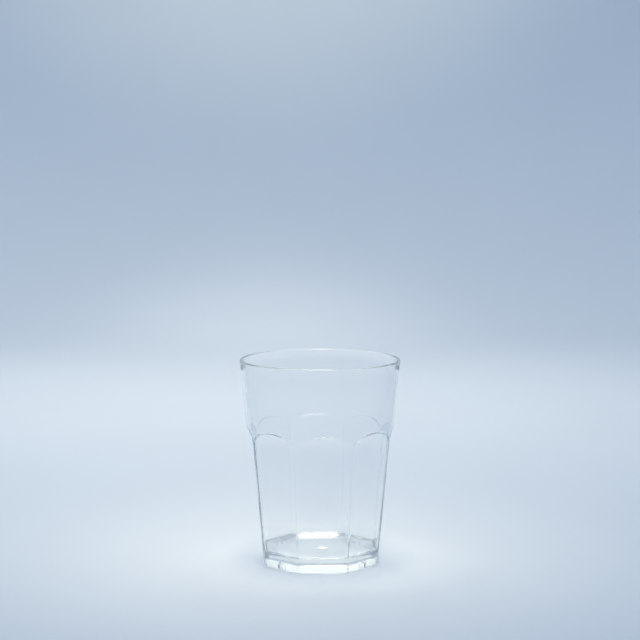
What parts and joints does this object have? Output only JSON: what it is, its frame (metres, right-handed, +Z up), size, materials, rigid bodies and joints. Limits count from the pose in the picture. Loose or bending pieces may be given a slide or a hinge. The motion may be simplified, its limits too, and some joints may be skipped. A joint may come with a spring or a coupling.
{
  "type": "plastic tumbler cup",
  "caption": "Clear moulded tumbler: plain flared band at the rim, arched flat panels below it, and a panelled foot with a recessed underside and four small drain notches.",
  "frame": {"origin": "centre of the foot, on the surface that the cup stands on", "axes": "+Z up along the cup's axis, towards the rim; +X and -Y each through the middle of a flat panel"},
  "size_m": [0.0848, 0.0848, 0.108],
  "materials": {
    "clear_plastic": "clear, polished, with fine scuffs from use"
  },
  "bodies": {
    "root": {"tumbler": "clear_plastic"}
  },
  "joints": []
}
